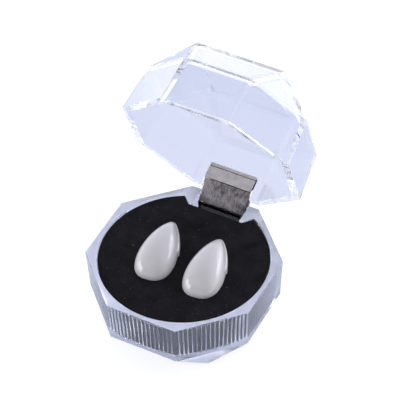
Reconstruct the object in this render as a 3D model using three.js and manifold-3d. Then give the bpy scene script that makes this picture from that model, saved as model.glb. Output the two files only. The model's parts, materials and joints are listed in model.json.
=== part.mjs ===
// A pair of vampire fang caps lying on a velvet pad in a small hinged clear box, shown open.
// Millimetres, +Z up. The origin is the middle of the foot's underside and +Y points to the hinge.
import * as THREE from "three";
import { ConvexGeometry } from "three/addons/geometries/ConvexGeometry.js";
import { mergeVertices } from "three/addons/utils/BufferGeometryUtils.js";
import Module from "manifold-3d";

const wasm = await Module();
wasm.setup();

// Fits
const SEAT_GAP = 0.3; // between pieces that seat on each other
const PIN_CLEARANCE = 0.1; // radial, between the pin and what turns on it
const OVERCUT = 1; // how far a cutting tool runs past the face that it cuts

// Clear box, octagonal at the rim and square at the foot and the table
const ACROSS_FLATS = 40;
const BASE_WALL_HEIGHT = 10.5;
const BASE_DRAFT = 0.55; // each flat leans in by this much from the rim to the foot of the wall
const BASE_BEVEL_HEIGHT = 6.5;
const FOOT_SIDE = 23.9;
const LID_WALL_HEIGHT = 11.15;
const LID_DRAFT = 0.95;
const LID_BEVEL_HEIGHT = 8.1;
const TABLE_SIDE = 20.8;
const LID_WALL = 1.5;
const LID_BEVEL_WALL = 1.6;
const TABLE_WALL = 1.8;

// Round fluted cup in the base
const CUP_WALL = 1; // at the middle of a flat, behind a flute
const CUP_DEPTH = 10.2;
const CUP_DRAFT = 0.55;
const LIP_DEPTH = 0.5; // plain ring above the flutes
const FLUTE_PITCH = 0.98;
const FLUTE_DEPTH = 0.25;

// Guide block at the back of the cup, with the pocket for the hinge
const BLOCK_FRONT_WIDTH = 13.2;
const BLOCK_DEPTH = 4.1; // from the cup's wall towards its middle
const BLOCK_FLARE = 2.2; // how much wider each side grows towards the cup's wall, at 45 degrees

// Velvet pad
const PAD_SINK = 0.2; // pad's top below the rim
const PAD_EDGE_RADIUS = 0.4;

// Hinge of thin sheet steel: two leaves, a cover plate and a pin
const SHEET = 0.25;
const PIVOT_BEHIND_WALL = 0.4;
const PIN_RADIUS = 0.4;
const KNUCKLE_WALL = 0.35;
const LEAF_WIDTH = 11.3;
const LEAF_DEPTH = 2.9; // from the pivot to the leaf's visible face
const LEAF_REACH = 5.3; // from the pivot to the leaf's far edge
const HEM_HEIGHT = 0.75;
const HEM_THICKNESS = 0.12;
const LID_KNUCKLE_WIDTH = 3.8;
const COVER_WIDTH = 11.2;
const COVER_HEIGHT = 5.44;
const COVER_STANDOFF = 1.35; // from the pivot to the cover's visible face
const COVER_SWING_CLEARANCE = 0.2; // between the cover's ends and the leaves' near edges

// Opening
const OPEN_ANGLE = THREE.MathUtils.degToRad(70.5);

// Fang caps: a convex front shell, longer than the back shell, so that the tooth hollow is open behind
const FANG_LENGTH = 16.3;
const FANG_WIDTH = 8.5;
const FANG_HEIGHT = 4.8;
const FANG_WALL = 0.75;
const FANG_RIM_HEIGHT = 0.2; // straight edge that lies on the pad
const BACK_SHELL_LENGTH = 8.1; // from the tip
const BACK_SHELL_PROUD = 0.25; // how far the back shell stands out beside the front one
const BACK_SHELL_HEIGHT = 1.5;
const TIP_SOLID_LENGTH = 3.4;
const FANG_SPACING = 11.7;
const FANG_PAIR_X = 0.65;
const FANG_PAIR_Y = -0.95;
const FANG_TURN = THREE.MathUtils.degToRad(7.8);
const FANG_SECTIONS = [
  // along: share of the length from the gum end; width, height: shares of the full width and height
  { along: 0, width: 0.3, height: 0.1 },
  { along: 0.02, width: 0.49, height: 0.26 },
  { along: 0.06, width: 0.72, height: 0.5 },
  { along: 0.12, width: 0.88, height: 0.71 },
  { along: 0.2, width: 0.97, height: 0.88 },
  { along: 0.3, width: 1, height: 0.97 },
  { along: 0.4, width: 1, height: 1 },
  { along: 0.5, width: 0.97, height: 0.985 },
  { along: 0.6, width: 0.9, height: 0.95 },
  { along: 0.7, width: 0.79, height: 0.88 },
  { along: 0.8, width: 0.62, height: 0.76 },
  { along: 0.9, width: 0.38, height: 0.57 },
  { along: 0.96, width: 0.19, height: 0.4 },
  { along: 1, width: 0.05, height: 0.24 },
];

// Fineness of curved faces
const ROUND_SIDES = 96;
const PIN_SIDES = 24;
const ARCH_STEPS = 14;

// Sizes that follow
const APOTHEM = ACROSS_FLATS / 2;
const RIM_Z = BASE_BEVEL_HEIGHT + BASE_WALL_HEIGHT;
const CUP_RADIUS = APOTHEM - CUP_WALL;
const PIVOT_Y = APOTHEM + PIVOT_BEHIND_WALL;
const PIVOT_Z = RIM_Z + SEAT_GAP / 2;
const BORE_RADIUS = PIN_RADIUS + PIN_CLEARANCE;
const KNUCKLE_RADIUS = BORE_RADIUS + KNUCKLE_WALL;
const COVER_SWING = Math.hypot(COVER_STANDOFF, COVER_HEIGHT / 2);
const EAR_INSIDE = COVER_WIDTH / 2 - SHEET;
const PAD_TOP = RIM_Z - PAD_SINK;
const POCKET_WIDTH = Math.max(LEAF_WIDTH, COVER_WIDTH) + 2 * SEAT_GAP;

// The solids

function solidOf(geometry) {
  const bare = geometry.clone();
  bare.deleteAttribute("normal");
  bare.deleteAttribute("uv");
  const merged = mergeVertices(bare, 1e-4);
  return new wasm.Manifold(
    new wasm.Mesh({
      numProp: 3,
      vertProperties: new Float32Array(merged.attributes.position.array),
      triVerts: new Uint32Array(merged.index.array),
    }),
  );
}

function geometryOf(solid) {
  const mesh = solid.getMesh();
  const geometry = new THREE.BufferGeometry();
  geometry.setAttribute("position", new THREE.BufferAttribute(mesh.vertProperties, 3));
  geometry.setIndex(new THREE.BufferAttribute(mesh.triVerts, 1));
  geometry.computeVertexNormals();
  return geometry;
}

function box(low, high) {
  const size = high.map((value, axis) => value - low[axis]);
  const geometry = new THREE.BoxGeometry(...size);
  geometry.translate(...low.map((value, axis) => value + size[axis] / 2));
  return solidOf(geometry);
}

// A round bar along X between two places, centred on the pivot.
function bar(radius, fromX, toX) {
  const geometry = new THREE.CylinderGeometry(radius, radius, toX - fromX, PIN_SIDES);
  geometry.rotateZ(Math.PI / 2);
  geometry.translate((fromX + toX) / 2, 0, 0);
  return solidOf(geometry);
}

// A profile of [y, z] points, extruded along X and centred on X = 0.
function sheetAlongX(profile, width) {
  const shape = new THREE.Shape(profile.map(([y, z]) => new THREE.Vector2(y, z)));
  const geometry = new THREE.ExtrudeGeometry(shape, { depth: width, bevelEnabled: false });
  geometry.translate(0, 0, -width / 2);
  geometry.applyMatrix4(new THREE.Matrix4().makeBasis(
    new THREE.Vector3(0, 1, 0),
    new THREE.Vector3(0, 0, 1),
    new THREE.Vector3(1, 0, 0),
  ));
  return solidOf(geometry);
}

// A closed skin over rings of points that have the same number of points each.
function loft(rings) {
  const count = rings[0].length;
  const points = rings.flat();
  const faces = [];
  for (let level = 0; level + 1 < rings.length; level++) {
    for (let i = 0; i < count; i++) {
      const a = level * count + i;
      const b = level * count + ((i + 1) % count);
      faces.push(a, b, b + count, a, b + count, a + count);
    }
  }
  const lastStart = points.length - count;
  const centreOf = (ring) => ring
    .reduce((sum, point) => sum.add(point), new THREE.Vector3())
    .divideScalar(count);
  const firstCentre = points.push(centreOf(rings[0])) - 1;
  const lastCentre = points.push(centreOf(rings.at(-1))) - 1;
  for (let i = 0; i < count; i++) {
    const next = (i + 1) % count;
    faces.push(firstCentre, next, i, lastCentre, lastStart + i, lastStart + next);
  }
  const geometry = new THREE.BufferGeometry().setFromPoints(points);
  geometry.setIndex(faces);
  return solidOf(geometry);
}

// Clear box

function octagon(apothem, z) {
  const radius = apothem / Math.cos(Math.PI / 8);
  return Array.from({ length: 8 }, (_, corner) => {
    const angle = ((corner + 0.5) * Math.PI) / 4;
    return new THREE.Vector3(radius * Math.cos(angle), radius * Math.sin(angle), z);
  });
}

function square(side, z) {
  const half = side / 2;
  return [[half, half], [-half, half], [-half, -half], [half, -half]]
    .map(([x, y]) => new THREE.Vector3(x, y, z));
}

function facetedBlock(...levels) {
  return solidOf(new ConvexGeometry(levels.flat()));
}

function ringAt(radiusOf, count, z) {
  return Array.from({ length: count }, (_, i) => {
    const angle = (2 * Math.PI * i) / count;
    return new THREE.Vector3(radiusOf(i) * Math.cos(angle), radiusOf(i) * Math.sin(angle), z);
  });
}

// The cup's wall leans in by this much at a depth below the rim.
function cupDraftAt(depth) {
  return (CUP_DRAFT * depth) / CUP_DEPTH;
}

function cupTool() {
  const flutes = Math.round((2 * Math.PI * CUP_RADIUS) / FLUTE_PITCH);
  const fluted = (depth) => ringAt(
    (i) => CUP_RADIUS - cupDraftAt(depth) - (i % 2) * FLUTE_DEPTH,
    2 * flutes,
    RIM_Z - depth,
  );
  const plain = (depth, z) => ringAt(() => CUP_RADIUS - cupDraftAt(depth), 2 * flutes, z);
  const flutedPart = loft([fluted(CUP_DEPTH), fluted(0)]);
  const lip = loft([plain(LIP_DEPTH, RIM_Z - LIP_DEPTH), plain(0, RIM_Z + OVERCUT)]);
  return flutedPart.add(lip);
}

// A prism with a plain front that flares towards the cup's wall, from the floor up.
function guideBlock(clearance, top) {
  const half = BLOCK_FRONT_WIDTH / 2 + clearance;
  const front = CUP_RADIUS - BLOCK_DEPTH - clearance;
  const plan = [
    [-half, front],
    [half, front],
    [half + BLOCK_FLARE, front + BLOCK_FLARE],
    [half + BLOCK_FLARE, APOTHEM + OVERCUT],
    [-half - BLOCK_FLARE, APOTHEM + OVERCUT],
    [-half - BLOCK_FLARE, front + BLOCK_FLARE],
  ];
  const shape = new THREE.Shape(plan.map(([x, y]) => new THREE.Vector2(x, y)));
  const geometry = new THREE.ExtrudeGeometry(shape, { depth: top + OVERCUT, bevelEnabled: false });
  geometry.translate(0, 0, -OVERCUT);
  return solidOf(geometry);
}

function hingePocket(lowZ, highZ) {
  const half = POCKET_WIDTH / 2;
  const front = CUP_RADIUS - BLOCK_DEPTH - OVERCUT;
  return box([-half, front, lowZ], [half, PIVOT_Y + APOTHEM, highZ]);
}

function boxBase() {
  const outside = facetedBlock(
    square(FOOT_SIDE, 0),
    octagon(APOTHEM - BASE_DRAFT, BASE_BEVEL_HEIGHT),
    octagon(APOTHEM, RIM_Z),
  );
  return outside
    .subtract(cupTool().subtract(guideBlock(0, RIM_Z + 2 * OVERCUT)))
    .subtract(hingePocket(PIVOT_Z - LEAF_REACH - SEAT_GAP, RIM_Z + OVERCUT));
}

// The hollow of the lid keeps its distance to each outer face: walls, slanting facets and table.
function lidHollow() {
  const lean = LID_DRAFT / LID_WALL_HEIGHT;
  const wallAt = (z) => APOTHEM - LID_WALL - lean * z;
  const run = APOTHEM - LID_DRAFT - TABLE_SIDE / 2;
  const slope = Math.hypot(run, LID_BEVEL_HEIGHT);
  const facetRise = (LID_BEVEL_WALL * slope) / run;
  const facetZ = (apothem) => LID_WALL_HEIGHT - facetRise
    + ((APOTHEM - LID_DRAFT - apothem) * LID_BEVEL_HEIGHT) / run;
  const steepness = LID_BEVEL_HEIGHT / run;
  const shoulder = (facetZ(wallAt(0))) / (1 - steepness * lean);
  const ceiling = LID_WALL_HEIGHT + LID_BEVEL_HEIGHT - TABLE_WALL;
  const ceilingHalf = wallAt(shoulder) - (ceiling - shoulder) / steepness;
  return facetedBlock(
    octagon(wallAt(-OVERCUT), -OVERCUT),
    octagon(wallAt(shoulder), shoulder),
    square(2 * ceilingHalf, ceiling),
  );
}

// The lid is modelled shut, with its rim at Z = 0, and is placed by its group.
function lidShell() {
  const outside = facetedBlock(
    octagon(APOTHEM, 0),
    octagon(APOTHEM - LID_DRAFT, LID_WALL_HEIGHT),
    square(TABLE_SIDE, LID_WALL_HEIGHT + LID_BEVEL_HEIGHT),
  );
  const pocketTop = LEAF_REACH + SEAT_GAP - SEAT_GAP / 2;
  return outside.subtract(lidHollow()).subtract(hingePocket(-OVERCUT, pocketTop));
}

// Velvet pad

function velvetPad() {
  const edgeAt = (depth) => CUP_RADIUS - FLUTE_DEPTH - SEAT_GAP - cupDraftAt(depth);
  const disc = (radius, depth) => ringAt(() => radius, ROUND_SIDES, RIM_Z - depth);
  const bottom = CUP_DEPTH - SEAT_GAP;
  const body = loft([
    disc(edgeAt(bottom), bottom),
    disc(edgeAt(PAD_SINK), PAD_SINK + PAD_EDGE_RADIUS),
    disc(edgeAt(PAD_SINK) - PAD_EDGE_RADIUS * (1 - Math.SQRT1_2), PAD_SINK + PAD_EDGE_RADIUS * (1 - Math.SQRT1_2)),
    disc(edgeAt(PAD_SINK) - PAD_EDGE_RADIUS, PAD_SINK),
  ]);
  return body.subtract(guideBlock(SEAT_GAP, RIM_Z + OVERCUT));
}

// Hinge, in the pivot's own frame: Y to the back, Z up

// A leaf runs down from its knuckles behind the wall, under it and up to its visible face.
// It is made for the lid and turned over for the base.
function hingeLeaf(knuckles) {
  const face = -LEAF_DEPTH;
  const backOuter = -PIVOT_BEHIND_WALL;
  const backInner = backOuter - SHEET;
  const nearBack = KNUCKLE_RADIUS + SEAT_GAP;
  const nearFace = Math.sqrt((COVER_SWING + COVER_SWING_CLEARANCE) ** 2 - (LEAF_DEPTH - SHEET) ** 2);
  const hemStart = LEAF_REACH - HEM_HEIGHT;
  const channel = sheetAlongX([
    [face, nearFace],
    [face + SHEET, nearFace],
    [face + SHEET, LEAF_REACH - SHEET],
    [backInner, LEAF_REACH - SHEET],
    [backInner, nearBack],
    [backOuter, nearBack],
    [backOuter, LEAF_REACH],
    [face - HEM_THICKNESS, LEAF_REACH],
    [face - HEM_THICKNESS, hemStart],
    [face, hemStart],
  ], LEAF_WIDTH);
  const swing = COVER_SWING + SEAT_GAP;
  const sideRoom = [-1, 1].map((side) => {
    const inner = side * (EAR_INSIDE - SEAT_GAP);
    const outer = side * (LEAF_WIDTH / 2 + OVERCUT);
    return box(
      [Math.min(inner, outer), backInner - SHEET, 0],
      [Math.max(inner, outer), backOuter + SHEET, swing],
    );
  });
  let leaf = sideRoom.reduce((rest, room) => rest.subtract(room), channel);
  for (const [fromX, toX] of knuckles) {
    leaf = leaf
      .add(box([fromX, backInner, 0], [toX, backOuter, nearBack + SHEET]))
      .add(bar(KNUCKLE_RADIUS, fromX, toX));
  }
  return leaf.subtract(bar(BORE_RADIUS, -LEAF_WIDTH, LEAF_WIDTH));
}

const lidKnuckles = [[-LID_KNUCKLE_WIDTH / 2, LID_KNUCKLE_WIDTH / 2]];
const baseKnuckles = [
  [-(EAR_INSIDE - SEAT_GAP), -(LID_KNUCKLE_WIDTH / 2 + SEAT_GAP)],
  [LID_KNUCKLE_WIDTH / 2 + SEAT_GAP, EAR_INSIDE - SEAT_GAP],
];

// A plate with an ear at each side, made upright, that turns half as far as the lid.
function hingeCover() {
  const half = COVER_HEIGHT / 2;
  const plate = box(
    [-COVER_WIDTH / 2, -COVER_STANDOFF, -half],
    [COVER_WIDTH / 2, -COVER_STANDOFF + SHEET, half],
  );
  const earShape = [
    [-COVER_STANDOFF, -half],
    [-COVER_STANDOFF + 2 * SHEET, -half],
    [0, -KNUCKLE_RADIUS],
    [0, KNUCKLE_RADIUS],
    [-COVER_STANDOFF + 2 * SHEET, half],
    [-COVER_STANDOFF, half],
  ];
  const ears = sheetAlongX(earShape, COVER_WIDTH)
    .add(bar(KNUCKLE_RADIUS, -COVER_WIDTH / 2, COVER_WIDTH / 2))
    .subtract(box([-EAR_INSIDE, -2 * COVER_SWING, -2 * COVER_SWING], [EAR_INSIDE, 2 * COVER_SWING, 2 * COVER_SWING]));
  return plate.add(ears).subtract(bar(BORE_RADIUS, -COVER_WIDTH, COVER_WIDTH));
}

function hingePin() {
  return bar(PIN_RADIUS, -(COVER_WIDTH + SHEET) / 2, (COVER_WIDTH + SHEET) / 2);
}

// Fang caps, each made on its own axis: gum end at Y = 0, tip at +Y, lying on Z = 0

// One arched section: half an ellipse above the pad, and straight down from there to the floor height.
function archSection(halfWidth, height, y, floor) {
  const ring = [];
  for (let step = 0; step <= ARCH_STEPS; step++) {
    const angle = (Math.PI * step) / ARCH_STEPS;
    ring.push(new THREE.Vector3(halfWidth * Math.cos(angle), y, height * Math.sin(angle)));
  }
  ring.push(new THREE.Vector3(-halfWidth, y, floor), new THREE.Vector3(halfWidth, y, floor));
  return ring.reverse();
}

// A shell's outer form, or with a wall its inner form, which stands back from it by that wall.
function fangForm(wall, floor) {
  const length = FANG_LENGTH - 2 * wall;
  return loft(FANG_SECTIONS.map(({ along, width, height }) => archSection(
    (FANG_WIDTH / 2) * width * (1 - (2 * wall) / FANG_WIDTH),
    FANG_HEIGHT * height * (1 - wall / FANG_HEIGHT),
    wall + along * length,
    floor,
  )));
}

function fangCap() {
  const back = FANG_LENGTH - BACK_SHELL_LENGTH;
  const wide = FANG_WIDTH;
  const tall = 2 * FANG_HEIGHT;
  const front = fangForm(0, -FANG_RIM_HEIGHT);
  const spread = 1 + (2 * BACK_SHELL_PROUD) / FANG_WIDTH;
  const backGeometry = geometryOf(front);
  backGeometry.scale(spread, 1, 1);
  const backShell = solidOf(backGeometry)
    .intersect(box([-wide, back, -tall], [wide, FANG_LENGTH, BACK_SHELL_HEIGHT]));
  const toothHollow = fangForm(FANG_WALL, -FANG_WALL)
    .intersect(box([-wide, -OVERCUT, -tall], [wide, FANG_LENGTH - TIP_SOLID_LENGTH, tall]));
  const backWall = box([-wide, back, -tall], [wide, FANG_LENGTH, FANG_WALL]);
  return front.add(backShell).subtract(toothHollow.subtract(backWall));
}

// Finishes

const clearAcrylic = new THREE.MeshStandardMaterial({
  color: 0xdde2f4, roughness: 0.05, metalness: 0, transparent: true, opacity: 0.35,
});
const blackVelvet = new THREE.MeshStandardMaterial({ color: 0x1b191b, roughness: 1, metalness: 0 });
const glossyWhite = new THREE.MeshStandardMaterial({ color: 0xe4e4e6, roughness: 0.15, metalness: 0 });
const satinSteel = new THREE.MeshStandardMaterial({ color: 0xa9a6a8, roughness: 0.35, metalness: 1 });
const springSteel = new THREE.MeshStandardMaterial({ color: 0x77737a, roughness: 0.4, metalness: 1 });

// Assembly

function piece(name, solid, material) {
  const mesh = new THREE.Mesh(geometryOf(solid), material);
  mesh.name = name;
  return mesh;
}

function fangAt(name, side) {
  const fang = piece(name, fangCap(), glossyWhite);
  fang.position.set(0, -FANG_LENGTH / 2, FANG_RIM_HEIGHT + SEAT_GAP);
  const place = new THREE.Group();
  place.position.set(FANG_PAIR_X + (side * FANG_SPACING) / 2, FANG_PAIR_Y, PAD_TOP);
  place.rotation.z = FANG_TURN;
  place.add(fang);
  return place;
}

const baseLeaf = piece("hinge_base_leaf", hingeLeaf(baseKnuckles), satinSteel);
baseLeaf.rotation.y = Math.PI;
const cover = piece("hinge_cover", hingeCover(), springSteel);
cover.rotation.x = -OPEN_ANGLE / 2;
const atPivot = new THREE.Group();
atPivot.position.set(0, PIVOT_Y, PIVOT_Z);
atPivot.add(baseLeaf, cover, piece("hinge_pin", hingePin(), satinSteel));

const lid = piece("lid_shell", lidShell(), clearAcrylic);
lid.position.set(0, -PIVOT_Y, SEAT_GAP / 2);
const lidGroup = new THREE.Group();
lidGroup.add(lid, piece("hinge_lid_leaf", hingeLeaf(lidKnuckles), satinSteel));
lidGroup.rotation.x = -OPEN_ANGLE;
atPivot.add(lidGroup);

const fangBox = new THREE.Group();
fangBox.add(
  piece("box_base", boxBase(), clearAcrylic),
  piece("velvet_pad", velvetPad(), blackVelvet),
  fangAt("fang_left", -1),
  fangAt("fang_right", 1),
  atPivot,
);

export default fangBox;
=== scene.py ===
"""A pair of vampire fang caps on a velvet pad in a hinged clear box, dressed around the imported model.

Metres, +Z up. The origin is the middle of the box's foot, +Y points to the hinge, and the lid stands open.
"""

from __future__ import annotations

import json
import logging
import math
from collections.abc import Callable, Iterator, Sequence
from contextlib import contextmanager
from dataclasses import dataclass, field
from enum import Enum
from typing import Any

import bmesh
import bpy
from mathutils import Matrix, Vector

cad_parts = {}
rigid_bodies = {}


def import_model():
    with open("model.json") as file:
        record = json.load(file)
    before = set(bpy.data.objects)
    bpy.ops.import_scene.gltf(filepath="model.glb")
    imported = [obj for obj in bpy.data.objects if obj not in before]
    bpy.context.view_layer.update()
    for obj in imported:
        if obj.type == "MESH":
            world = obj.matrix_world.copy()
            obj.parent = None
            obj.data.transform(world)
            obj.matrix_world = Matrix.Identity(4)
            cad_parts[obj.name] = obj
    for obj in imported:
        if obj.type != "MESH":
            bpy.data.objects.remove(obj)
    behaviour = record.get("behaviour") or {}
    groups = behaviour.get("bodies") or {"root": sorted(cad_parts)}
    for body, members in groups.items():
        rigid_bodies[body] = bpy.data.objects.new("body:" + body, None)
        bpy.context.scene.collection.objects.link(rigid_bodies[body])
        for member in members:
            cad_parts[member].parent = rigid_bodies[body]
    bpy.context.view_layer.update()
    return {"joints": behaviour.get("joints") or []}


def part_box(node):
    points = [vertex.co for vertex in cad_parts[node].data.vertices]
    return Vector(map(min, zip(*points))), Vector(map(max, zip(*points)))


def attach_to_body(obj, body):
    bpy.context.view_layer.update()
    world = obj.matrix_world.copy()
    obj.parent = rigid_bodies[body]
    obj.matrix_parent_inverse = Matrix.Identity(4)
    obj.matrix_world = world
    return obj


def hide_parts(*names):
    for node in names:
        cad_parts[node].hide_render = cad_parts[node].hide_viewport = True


LOG = logging.getLogger("fang_box")
MM = 0.001
SEAT_GAP = 0.3 * MM
OVERCUT = 1.0 * MM  # how far a cutting tool runs past the face that it cuts
SAME_PLACE = 0.01 * MM  # points nearer than this count as one place
SQUARE_ON = 0.9  # the least part of a normal along an axis for a face that looks that way
ROUND_BELOW = 40.0  # degrees: a sharper edge than this stays crisp in the shading


class Body(Enum):
    """The bodies that move apart."""

    BOX = "box"
    LID = "lid"
    COVER = "cover"


class Cut(Enum):
    """How one solid acts on another."""

    AWAY = "DIFFERENCE"
    JOIN = "UNION"


class Facing(Enum):
    """Which way a faceted block narrows."""

    UP = 1.0
    DOWN = -1.0


# Modelling helpers


def only(piece: bpy.types.Object) -> None:
    """Makes one object the only selected and the active one.

    Args:
        piece: The object to select.
    """
    bpy.ops.object.select_all(action="DESELECT")
    piece.select_set(True)
    bpy.context.view_layer.objects.active = piece


@contextmanager
def editing(piece: bpy.types.Object) -> Iterator[None]:
    """Opens a piece in edit mode with nothing selected, and closes it again.

    Args:
        piece: The object to edit.
    """
    only(piece)
    bpy.ops.object.mode_set(mode="EDIT")
    bpy.ops.mesh.select_all(action="DESELECT")
    yield
    bpy.ops.object.mode_set(mode="OBJECT")


def pick_faces(piece: bpy.types.Object, test: Callable[[Vector, Vector], bool]) -> None:
    """Selects only the faces that pass a test, in edit mode.

    Args:
        piece: The object in edit mode.
        test: Takes a face's centre and normal.
    """
    bpy.ops.mesh.select_all(action="DESELECT")
    bpy.ops.mesh.select_mode(type="FACE")
    mesh = bmesh.from_edit_mesh(piece.data)
    for face in mesh.faces:
        if test(face.calc_center_median(), face.normal):
            face.select_set(True)
    bmesh.update_edit_mesh(piece.data)


def pick_vertices(piece: bpy.types.Object, test: Callable[[int, Vector], bool]) -> None:
    """Selects only the vertices that pass a test, in edit mode.

    Args:
        piece: The object in edit mode.
        test: Takes a vertex's index and place.
    """
    bpy.ops.mesh.select_mode(type="VERT")
    bpy.ops.mesh.select_all(action="DESELECT")
    mesh = bmesh.from_edit_mesh(piece.data)
    for vertex in mesh.verts:
        if test(vertex.index, vertex.co):
            vertex.select_set(True)
    mesh.select_flush_mode()
    bmesh.update_edit_mesh(piece.data)


def extrude(move: Sequence[float]) -> None:
    """Extrudes what is selected, in edit mode.

    Args:
        move: How far the new part is moved.
    """
    bpy.ops.mesh.extrude_region_move(TRANSFORM_OT_translate={"value": move})


def rescale(value: Sequence[float], centre: Sequence[float]) -> None:
    """Scales what is selected about a point, in edit mode.

    Args:
        value: The factors along the three axes.
        centre: The point that stays.
    """
    bpy.ops.transform.resize(value=value, center_override=centre)


def face_outward() -> None:
    """Turns all faces of the mesh in edit mode outward."""
    bpy.ops.mesh.select_all(action="SELECT")
    bpy.ops.mesh.normals_make_consistent(inside=False)


def named(name: str) -> bpy.types.Object:
    """Names the active object and puts its place and turn into its mesh.

    Args:
        name: The piece's plain name.

    Returns:
        The object.
    """
    piece = bpy.context.view_layer.objects.active
    piece.name = name
    piece.data.name = name
    only(piece)
    bpy.ops.object.transform_apply(location=True, rotation=True, scale=True)
    return piece


def apply_modifier(piece: bpy.types.Object, kind: str, **settings: Any) -> None:
    """Adds one modifier with its settings and applies it.

    Args:
        piece: The object to change.
        kind: The modifier's type.
        **settings: Its properties.
    """
    only(piece)
    modifier = piece.modifiers.new(kind.lower(), kind)
    for key, value in settings.items():
        setattr(modifier, key, value)
    bpy.ops.object.modifier_apply(modifier=modifier.name)


def combine(piece: bpy.types.Object, tool: bpy.types.Object, how: Cut) -> None:
    """Cuts a solid with another or joins them, and deletes the tool.

    Args:
        piece: The solid that stays.
        tool: The solid that is used up.
        how: Whether the tool is cut away or joined.
    """
    apply_modifier(piece, "BOOLEAN", object=tool, operation=how.value, solver="MANIFOLD")
    bpy.data.objects.remove(tool, do_unlink=True)


def block(name: str, low: Sequence[float], high: Sequence[float]) -> bpy.types.Object:
    """Makes a plain cuboid, used as a tool or a start.

    Args:
        name: The block's name.
        low: Its lowest corner.
        high: Its highest corner.

    Returns:
        The block.
    """
    middle = [(a + b) / 2 for a, b in zip(low, high)]
    size = [b - a for a, b in zip(low, high)]
    bpy.ops.mesh.primitive_cube_add(size=1, location=middle, scale=size)
    return named(name)


def smooth_by_angle(piece: bpy.types.Object, degrees: float = ROUND_BELOW) -> None:
    """Smooths the shading across edges that are flatter than an angle, and keeps large faces flat.

    Args:
        piece: The object to shade.
        degrees: The sharpest angle that still looks round.
    """
    only(piece)
    bpy.ops.object.shade_smooth_by_angle(angle=math.radians(degrees))
    apply_modifier(piece, "WEIGHTED_NORMAL", mode="FACE_AREA", weight=100, keep_sharp=True)


# Materials


def linear(hex_code: str) -> tuple[float, float, float, float]:
    """Turns an sRGB hex value to a linear colour.

    Args:
        hex_code: Six hex digits, such as "C8C8CB".

    Returns:
        Red, green, blue and an alpha of 1.
    """
    values = [int(hex_code[i:i + 2], 16) / 255 for i in (0, 2, 4)]
    red, green, blue = (v / 12.92 if v <= 0.04045 else ((v + 0.055) / 1.055) ** 2.4 for v in values)
    return (red, green, blue, 1.0)


def add_node(
    tree: bpy.types.NodeTree, kind: str, inputs: dict[str | int, Any] | None = None, **settings: Any,
) -> bpy.types.Node:
    """Adds a shader node with its settings, its socket values and its links.

    Args:
        tree: The node tree that it goes into.
        kind: The node's type.
        inputs: Socket name or number to a value, or to the output socket that feeds it.
        **settings: Its properties.

    Returns:
        The node.
    """
    node = tree.nodes.new(kind)
    for key, value in settings.items():
        setattr(node, key, value)
    for key, value in (inputs or {}).items():
        if isinstance(value, bpy.types.NodeSocket):
            tree.links.new(value, node.inputs[key])
        else:
            node.inputs[key].default_value = value
    return node


def empty_material(name: str) -> tuple[bpy.types.Material, bpy.types.NodeTree]:
    """Makes a material with no nodes.

    Args:
        name: The finish's name.

    Returns:
        The material and its node tree.
    """
    material = bpy.data.materials.new(name)
    material.use_nodes = True
    material.node_tree.nodes.clear()
    return material, material.node_tree


def dress(piece: bpy.types.Object, material: bpy.types.Material, *others: bpy.types.Material) -> None:
    """Gives a piece its finish, also in the empty slots that a cut leaves behind.

    Args:
        piece: The object to dress.
        material: The finish of all faces but those that are set apart.
        *others: The finishes of faces that are set apart by a later material index.
    """
    if not piece.material_slots:
        piece.data.materials.append(material)
    for slot in piece.material_slots:
        slot.link = "OBJECT"
        slot.material = material
    for other in others:
        piece.data.materials.append(other)


@dataclass(frozen=True)
class ClearAcrylic:
    """Moulded clear acrylic: polished, faintly lavender, with hair-fine handling marks.

    The tint is what light keeps after it crosses one wall. The marks break up the mirror-like gloss a
    little. Milkiness is the share of light that scatters in the surface and doesn't shine through.
    """

    name: str
    roughness_low: float
    roughness_high: float
    milkiness: float = 0.0
    tint: str = "F9FAFE"
    index: float = 1.49
    mark_size: float = 1.2 * MM

    def material(self) -> bpy.types.Material:
        """Builds the finish."""
        material, tree = empty_material(self.name)
        place = add_node(tree, "ShaderNodeTexCoord")
        marks = add_node(
            tree, "ShaderNodeTexNoise",
            {"Vector": place.outputs["Object"], "Scale": 1 / self.mark_size, "Detail": 4.0},
        )
        gloss = add_node(
            tree, "ShaderNodeMapRange",
            {"Value": marks.outputs["Fac"], "From Min": 0.5, "From Max": 0.8,
             "To Min": self.roughness_low, "To Max": self.roughness_high},
        )
        surface = add_node(
            tree, "ShaderNodeBsdfPrincipled",
            {"Base Color": linear(self.tint), "Transmission Weight": 1 - self.milkiness, "IOR": self.index,
             "Roughness": gloss.outputs["Result"]},
        )
        add_node(tree, "ShaderNodeOutputMaterial", {"Surface": surface.outputs["BSDF"]})
        return material


POLISHED_ACRYLIC = ClearAcrylic("clear_acrylic", roughness_low=0.05, roughness_high=0.1)
FLUTED_ACRYLIC = ClearAcrylic(
    "clear_acrylic_fluted", roughness_low=0.12, roughness_high=0.19, milkiness=0.05, tint="F6F8FF",
)
SATIN_RIM = ClearAcrylic(
    "clear_acrylic_rim", roughness_low=0.3, roughness_high=0.36, milkiness=0.45, tint="F6F8FF",
)


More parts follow.
